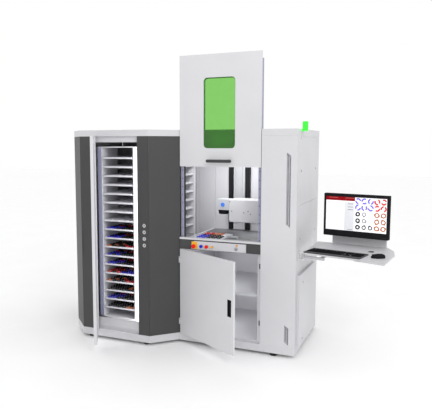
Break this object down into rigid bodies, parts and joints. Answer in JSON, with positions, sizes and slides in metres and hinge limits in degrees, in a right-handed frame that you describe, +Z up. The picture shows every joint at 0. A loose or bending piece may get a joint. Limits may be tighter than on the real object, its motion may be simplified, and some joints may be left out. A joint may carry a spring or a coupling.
{
  "type": "laser marking machine",
  "caption": "Floor-standing laser marking machine with a tray carousel magazine, a lift door over the marking bay, a lower cupboard, an electrical cabinet and a swivelling console.",
  "frame": {"origin": "middle of the footprint at floor level, taken over the open magazine door and the console", "axes": "+X to the machine's right as seen from its front, -Y out of the front, +Z up"},
  "size_m": [2.9632, 1.4892, 2.592],
  "materials": {
    "levelling_feet": "black rubber pads on steel studs",
    "plinth": "light grey powder coat",
    "magazine_panels": "matt anthracite powder coat",
    "top_caps": "light grey powder coat",
    "header_panels": "light grey powder coat",
    "hinges": "satin steel",
    "carousel_drive": "grey painted casting",
    "partition_panels": "light grey powder coat",
    "rear_panels": "light grey powder coat",
    "work_table": "satin anodised plate",
    "fascia": "matt anthracite powder coat",
    "lift_guides": "blue-grey coated channel",
    "lift_cylinder": "anodised tube",
    "control_panel": "light grey powder coat",
    "button_bezels": "bright rings",
    "estop_plate": "yellow plate",
    "cupboard_shelf": "light grey powder coat",
    "cupboard_jambs": "light grey powder coat",
    "cabinet_front_panel": "light grey powder coat",
    "vent_grilles": "slotted grey sheet",
    "cabinet_walls": "light grey powder coat",
    "access_covers": "light grey powder coat",
    "quarter_turn_locks": "zinc plated",
    "side_brackets": "light grey powder coat",
    "signal_lamp": "clear green lens",
    "z_axis": "anodised profile with black rails",
    "cabinet_equipment": "grey housings on a zinc plate",
    "lift_door": "light grey powder coat",
    "door_window": "green laser filter pane",
    "door_runners": "coated angles with slide shoes",
    "door_handle": "dark grip bar",
    "magazine_door": "light grey powder coat",
    "lower_door": "light grey powder coat",
    "recessed_pull": "black pull",
    "turntable": "light grey powder coat",
    "carousel_column": "grey painted tube",
    "rack_walls": "light grey coated sheet",
    "rack_trays": "satin tray",
    "workpieces": "moulded rings in four colours",
    "laser_housing": "white powder coat",
    "z_carriage": "black anodised plate",
    "scan_head": "light grey coat",
    "ftheta_lens": "black lens barrel",
    "tray_gripper": "anodised",
    "work_tray": "satin tray",
    "work_rings": "moulded rings in four colours",
    "estop_button": "red mushroom head",
    "blue_button": "blue cap",
    "red_button": "red cap",
    "yellow_button": "yellow cap",
    "key_switch": "satin barrel",
    "magazine_button_1": "satin cap",
    "magazine_button_2": "satin cap",
    "magazine_button_3": "satin cap",
    "magazine_button_4": "satin cap",
    "console_arm": "light grey powder coat",
    "console_tray": "light grey powder coat",
    "monitor": "black housing",
    "keyboard": "black keys",
    "mouse": "black shell"
  },
  "bodies": {
    "machine": {"levelling_feet": "levelling_feet", "plinth": "plinth", "magazine_panels": "magazine_panels", "top_caps": "top_caps", "header_panels": "header_panels", "hinges": "hinges", "carousel_drive": "carousel_drive", "partition_panels": "partition_panels", "rear_panels": "rear_panels", "work_table": "work_table", "fascia": "fascia", "lift_guides": "lift_guides", "lift_cylinder": "lift_cylinder", "control_panel": "control_panel", "button_bezels": "button_bezels", "estop_plate": "estop_plate", "cupboard_shelf": "cupboard_shelf", "cupboard_jambs": "cupboard_jambs", "cabinet_front_panel": "cabinet_front_panel", "vent_grilles": "vent_grilles", "cabinet_walls": "cabinet_walls", "access_covers": "access_covers", "quarter_turn_locks": "quarter_turn_locks", "side_brackets": "side_brackets", "signal_lamp": "signal_lamp", "z_axis": "z_axis", "cabinet_equipment": "cabinet_equipment"},
    "lift_door_body": {"lift_door": "lift_door", "door_window": "door_window", "door_runners": "door_runners", "door_handle": "door_handle"},
    "magazine_door_body": {"magazine_door": "magazine_door"},
    "lower_door_body": {"lower_door": "lower_door", "recessed_pull": "recessed_pull"},
    "carousel": {"turntable": "turntable", "carousel_column": "carousel_column", "rack_walls": "rack_walls", "rack_trays": "rack_trays", "workpieces": "workpieces"},
    "laser_head": {"laser_housing": "laser_housing", "z_carriage": "z_carriage", "scan_head": "scan_head", "ftheta_lens": "ftheta_lens"},
    "tray_shuttle": {"tray_gripper": "tray_gripper", "work_tray": "work_tray", "work_rings": "work_rings"},
    "estop": {"estop_button": "estop_button"},
    "blue": {"blue_button": "blue_button"},
    "red": {"red_button": "red_button"},
    "yellow": {"yellow_button": "yellow_button"},
    "key": {"key_switch": "key_switch"},
    "mag_button_1": {"magazine_button_1": "magazine_button_1"},
    "mag_button_2": {"magazine_button_2": "magazine_button_2"},
    "mag_button_3": {"magazine_button_3": "magazine_button_3"},
    "mag_button_4": {"magazine_button_4": "magazine_button_4"},
    "console": {"console_arm": "console_arm", "console_tray": "console_tray", "monitor": "monitor", "keyboard": "keyboard", "mouse": "mouse"}
  },
  "joints": [
    {"name": "lift_door_slide", "type": "slide", "parent": "machine", "child": "lift_door_body", "axis": [0, 0, 1], "range_m": [-0.64, 0]},
    {"name": "magazine_door_hinge", "type": "hinge", "parent": "machine", "child": "magazine_door_body", "pos_m": [-1.12855, -0.36142, 1], "axis": [0, 0, 1], "range_deg": [-60, 59]},
    {"name": "lower_door_hinge", "type": "hinge", "parent": "machine", "child": "lower_door_body", "pos_m": [-0.35455, -0.16042, 0.49], "axis": [0, 0, 1], "range_deg": [-80, 29.4]},
    {"name": "carousel_spin", "type": "hinge", "parent": "machine", "child": "carousel", "pos_m": [-0.91755, 0.19458, 0.208], "axis": [0, 0, -1], "continuous": true},
    {"name": "laser_height", "type": "slide", "parent": "machine", "child": "laser_head", "axis": [0, 0, 1], "range_m": [-0.1, 0.35]},
    {"name": "tray_transfer", "type": "slide", "parent": "machine", "child": "tray_shuttle", "axis": [1, 0, 0], "range_m": [-0.4155, 0.1]},
    {"name": "estop_press", "type": "slide", "parent": "machine", "child": "estop", "axis": [0, 1, 0], "range_m": [0, 0.005], "stiffness_N_per_m": 600},
    {"name": "blue_press", "type": "slide", "parent": "machine", "child": "blue", "axis": [0, 1, 0], "range_m": [0, 0.004], "stiffness_N_per_m": 400},
    {"name": "red_press", "type": "slide", "parent": "machine", "child": "red", "axis": [0, 1, 0], "range_m": [0, 0.004], "stiffness_N_per_m": 400},
    {"name": "yellow_press", "type": "slide", "parent": "machine", "child": "yellow", "axis": [0, 1, 0], "range_m": [0, 0.004], "stiffness_N_per_m": 400},
    {"name": "key_turn", "type": "hinge", "parent": "machine", "child": "key", "pos_m": [0.19345, -0.17542, 0.9182], "axis": [0, 1, 0], "range_deg": [0, 90]},
    {"name": "mag_press_1", "type": "slide", "parent": "machine", "child": "mag_button_1", "axis": [0, 1, 0], "range_m": [0, 0.0025], "stiffness_N_per_m": 400},
    {"name": "mag_press_2", "type": "slide", "parent": "machine", "child": "mag_button_2", "axis": [0, 1, 0], "range_m": [0, 0.0025], "stiffness_N_per_m": 400},
    {"name": "mag_press_3", "type": "slide", "parent": "machine", "child": "mag_button_3", "axis": [0, 1, 0], "range_m": [0, 0.0025], "stiffness_N_per_m": 400},
    {"name": "mag_press_4", "type": "slide", "parent": "machine", "child": "mag_button_4", "axis": [0, 1, 0], "range_m": [0, 0.0025], "stiffness_N_per_m": 400},
    {"name": "console_swivel", "type": "hinge", "parent": "machine", "child": "console", "pos_m": [0.75445, -0.05542, 0.88], "axis": [0, 0, 1], "range_deg": [-50, 4]}
  ]
}
